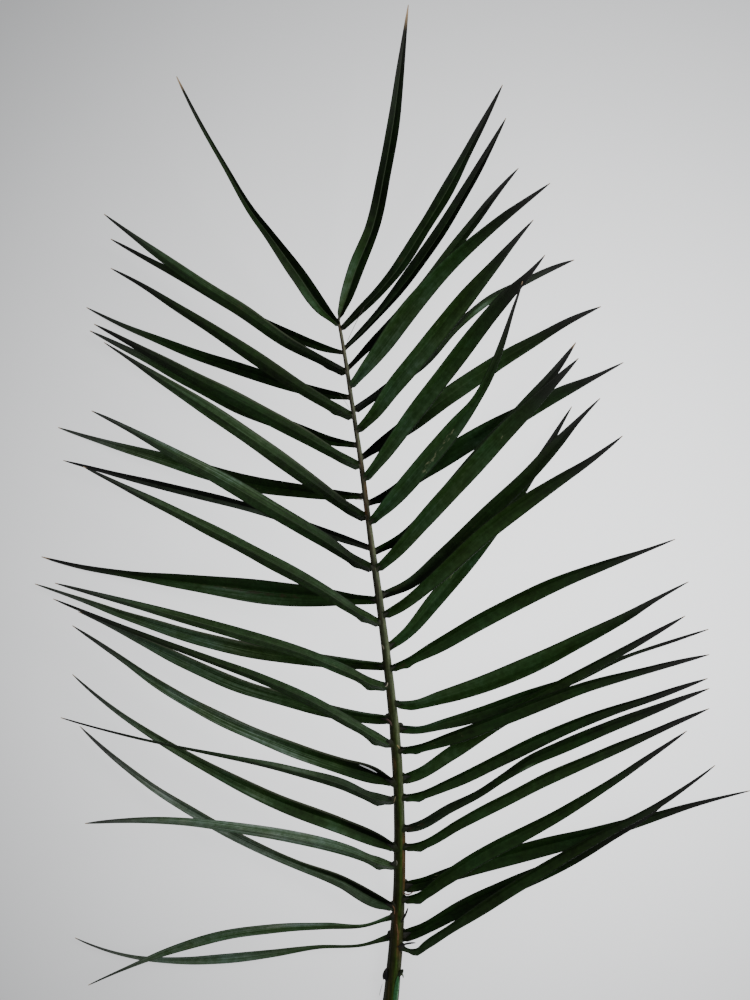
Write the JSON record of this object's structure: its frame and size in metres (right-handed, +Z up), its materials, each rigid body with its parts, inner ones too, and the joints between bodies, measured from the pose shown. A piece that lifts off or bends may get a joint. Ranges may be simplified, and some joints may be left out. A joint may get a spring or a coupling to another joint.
{
  "type": "preserved palm frond",
  "caption": "Cut pinnate palm frond lying flat: a tapering stalk and rachis with folded strap leaflets in front and rear rows, ending in a spread pair.",
  "frame": {"origin": "middle of the frond's box, on the surface that it lies on", "axes": "+Y from the cut butt to the tip, +X to the frond's right seen from above, +Z up, out of the upper side"},
  "size_m": [0.443, 0.6762, 0.0626],
  "materials": {
    "leaflets": "satin, preserved green leaf with fine lengthwise veins",
    "stalk": "matt, olive green to grey brown stalk"
  },
  "bodies": {
    "root": {"frond": "leaflets"}
  },
  "joints": []
}
